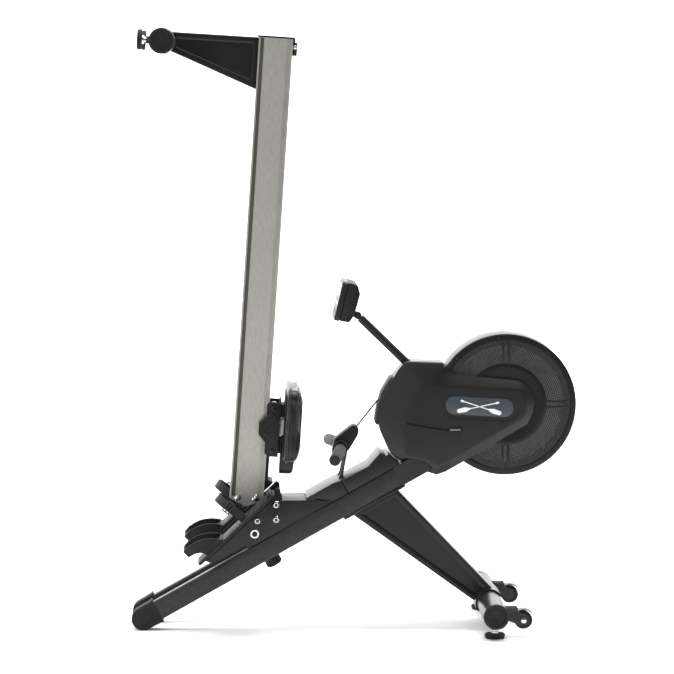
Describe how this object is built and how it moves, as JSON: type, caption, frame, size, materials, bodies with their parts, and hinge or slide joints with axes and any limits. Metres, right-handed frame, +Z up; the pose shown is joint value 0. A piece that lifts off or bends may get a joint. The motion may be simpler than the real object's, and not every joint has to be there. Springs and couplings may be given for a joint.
{
  "type": "rowing machine",
  "caption": "Folding air rowing machine with an upright seat rail, sliding seat, fan cage, pull handle, foot rests, front leg and transport wheels.",
  "frame": {"origin": "on the floor, below the middle of the folded machine's bounding box", "axes": "+Z up, +X from the floor end of the beams to the fan, Y across the machine"},
  "size_m": [1.3438, 0.584, 1.8065],
  "materials": {
    "black_paint": "gloss",
    "cap_rubber": "matte",
    "chrome": "polished",
    "black_plastic": "satin",
    "shroud_plastic": "satin",
    "strap_webbing": "woven",
    "buckle": "satin",
    "cage_paint": "satin",
    "bare_steel": "brushed",
    "belt_rubber": "matte",
    "badge": "satin",
    "screw_black": "satin",
    "grip_foam": "matte",
    "screen": "gloss",
    "button_grey": "satin",
    "rail_aluminium": "anodised satin",
    "truck_steel": "satin",
    "seat_vinyl": "soft matte",
    "roller_nylon": "satin"
  },
  "bodies": {
    "frame": {"main_beam_near": "black_paint", "main_beam_far": "black_paint", "beam_cap_near": "cap_rubber", "beam_cap_far": "cap_rubber", "gusset_near": "black_paint", "gusset_far": "black_paint", "frame_bolts": "chrome", "fold_bracket": "black_paint", "pivot_axle": "chrome", "neck_covers": "black_plastic", "handle_fork": "black_paint", "front_leg": "black_paint", "front_tube": "black_paint", "wheel_brackets": "black_paint", "foot_plates": "black_plastic", "foot_straps": "strap_webbing", "strap_buckles": "buckle", "fan_drum": "cage_paint", "fan_grille_near": "cage_paint", "fan_grille_far": "cage_paint", "fan_mounts": "bare_steel", "fan_axle": "chrome", "drive_belt": "belt_rubber", "shroud_near": "shroud_plastic", "shroud_far": "shroud_plastic", "front_panel": "black_plastic", "badges": "badge", "shroud_screws": "screw_black", "pull_strap": "strap_webbing", "mast": "black_paint"},
    "rail": {"rail": "rail_aluminium", "rail_fittings": "black_plastic", "rail_bolts": "chrome", "rear_leg": "black_paint", "rear_tube": "black_paint"},
    "seat": {"seat_truck": "truck_steel", "seat_pan": "black_plastic", "seat_cushion": "seat_vinyl"},
    "roller_upper": {"seat_roller_upper": "roller_nylon"},
    "roller_lower": {"seat_roller_lower": "roller_nylon"},
    "rear_foot_near": {"rear_foot_near": "cap_rubber"},
    "rear_foot_far": {"rear_foot_far": "cap_rubber"},
    "front_foot_near": {"front_foot_near": "cap_rubber"},
    "front_foot_far": {"front_foot_far": "cap_rubber"},
    "wheel_near": {"wheel_near": "cap_rubber"},
    "wheel_far": {"wheel_far": "cap_rubber"},
    "heel_cup_near": {"heel_cup_near": "black_plastic"},
    "heel_cup_far": {"heel_cup_far": "black_plastic"},
    "handle": {"handle_bar": "black_plastic", "handle_grips": "grip_foam"},
    "fan": {"fan_wheel": "black_plastic", "fan_bearings": "chrome"},
    "freewheel": {"small_pulley": "bare_steel"},
    "spool": {"strap_spool": "black_plastic"},
    "console": {"console_front": "shroud_plastic", "console_back": "black_plastic", "console_screen": "screen"},
    "button_left": {"button_left": "button_grey"},
    "button_right": {"button_right": "button_grey"},
    "lock_pin": {"lock_pin": "black_plastic"}
  },
  "joints": [
    {"name": "rail_fold", "type": "hinge", "parent": "frame", "child": "rail", "pos_m": [-0.29635, 0, 0.39444], "axis": [0, -1, 0], "range_deg": [0, 92.05]},
    {"name": "seat_slide", "type": "slide", "parent": "rail", "child": "seat", "axis": [0.0663, 0, 0.9978], "range_m": [0, 1.03]},
    {"name": "roller_upper_spin", "type": "hinge", "parent": "seat", "child": "roller_upper", "pos_m": [-0.23934, 0, 0.66726], "axis": [0, 1, 0], "continuous": true},
    {"name": "roller_lower_spin", "type": "hinge", "parent": "seat", "child": "roller_lower", "pos_m": [-0.24769, 0, 0.54154], "axis": [0, 1, 0], "continuous": true},
    {"name": "rear_foot_near_level", "type": "slide", "parent": "rail", "child": "rear_foot_near", "axis": [-0.9978, 0, 0.0663], "range_m": [0, 0.012]},
    {"name": "rear_foot_far_level", "type": "slide", "parent": "rail", "child": "rear_foot_far", "axis": [-0.9978, 0, 0.0663], "range_m": [0, 0.012]},
    {"name": "front_foot_near_level", "type": "slide", "parent": "frame", "child": "front_foot_near", "axis": [0, 0, -1], "range_m": [0, 0.012]},
    {"name": "front_foot_far_level", "type": "slide", "parent": "frame", "child": "front_foot_far", "axis": [0, 0, -1], "range_m": [0, 0.012]},
    {"name": "wheel_near_spin", "type": "hinge", "parent": "frame", "child": "wheel_near", "pos_m": [0.49921, -0.212, 0.0505], "axis": [0, 1, 0], "continuous": true},
    {"name": "wheel_far_spin", "type": "hinge", "parent": "frame", "child": "wheel_far", "pos_m": [0.49921, 0.212, 0.0505], "axis": [0, 1, 0], "continuous": true},
    {"name": "heel_cup_near_slide", "type": "slide", "parent": "frame", "child": "heel_cup_near", "axis": [0.7325, 0, 0.6807], "range_m": [0, 0.045]},
    {"name": "heel_cup_far_slide", "type": "slide", "parent": "frame", "child": "heel_cup_far", "axis": [0.7325, 0, 0.6807], "range_m": [0, 0.045]},
    {"name": "handle_pull", "type": "slide", "parent": "frame", "child": "handle", "axis": [-0.6237, 0, -0.7817], "range_m": [0, 0.1], "stiffness_N_per_m": 60, "springref_m": -0.5, "deforming": ["pull_strap"]},
    {"name": "spool_spin", "type": "hinge", "parent": "frame", "child": "spool", "pos_m": [0.17491, 0, 0.66451], "axis": [0, 1, 0], "continuous": true},
    {"name": "freewheel_spin", "type": "hinge", "parent": "frame", "child": "freewheel", "pos_m": [0.45791, 0, 0.67851], "axis": [0, 1, 0], "continuous": true},
    {"name": "fan_spin", "type": "hinge", "parent": "frame", "child": "fan", "pos_m": [0.45791, 0, 0.67851], "axis": [0, 1, 0], "continuous": true},
    {"name": "console_tilt", "type": "hinge", "parent": "frame", "child": "console", "pos_m": [0.01366, 0, 0.94547], "axis": [0, 1, 0], "range_deg": [-20, 20]},
    {"name": "button_left_press", "type": "slide", "parent": "console", "child": "button_left", "axis": [0.972, 0, -0.2351], "range_m": [0, 0.0012], "stiffness_N_per_m": 400, "springref_m": -0.002},
    {"name": "button_right_press", "type": "slide", "parent": "console", "child": "button_right", "axis": [0.972, 0, -0.2351], "range_m": [0, 0.0012], "stiffness_N_per_m": 400, "springref_m": -0.002},
    {"name": "lock_pin_pull", "type": "slide", "parent": "frame", "child": "lock_pin", "axis": [0.4879, 0, -0.8729], "range_m": [0, 0.012], "stiffness_N_per_m": 800, "springref_m": -0.01}
  ],
  "couplings": [
    {"joint": "roller_upper_spin", "follows": "seat_slide", "rad_per_m": -68.966},
    {"joint": "roller_lower_spin", "follows": "seat_slide", "rad_per_m": -68.966},
    {"joint": "spool_spin", "follows": "handle_pull", "rad_per_m": -33.333},
    {"joint": "freewheel_spin", "follows": "handle_pull", "rad_per_m": -100}
  ]
}
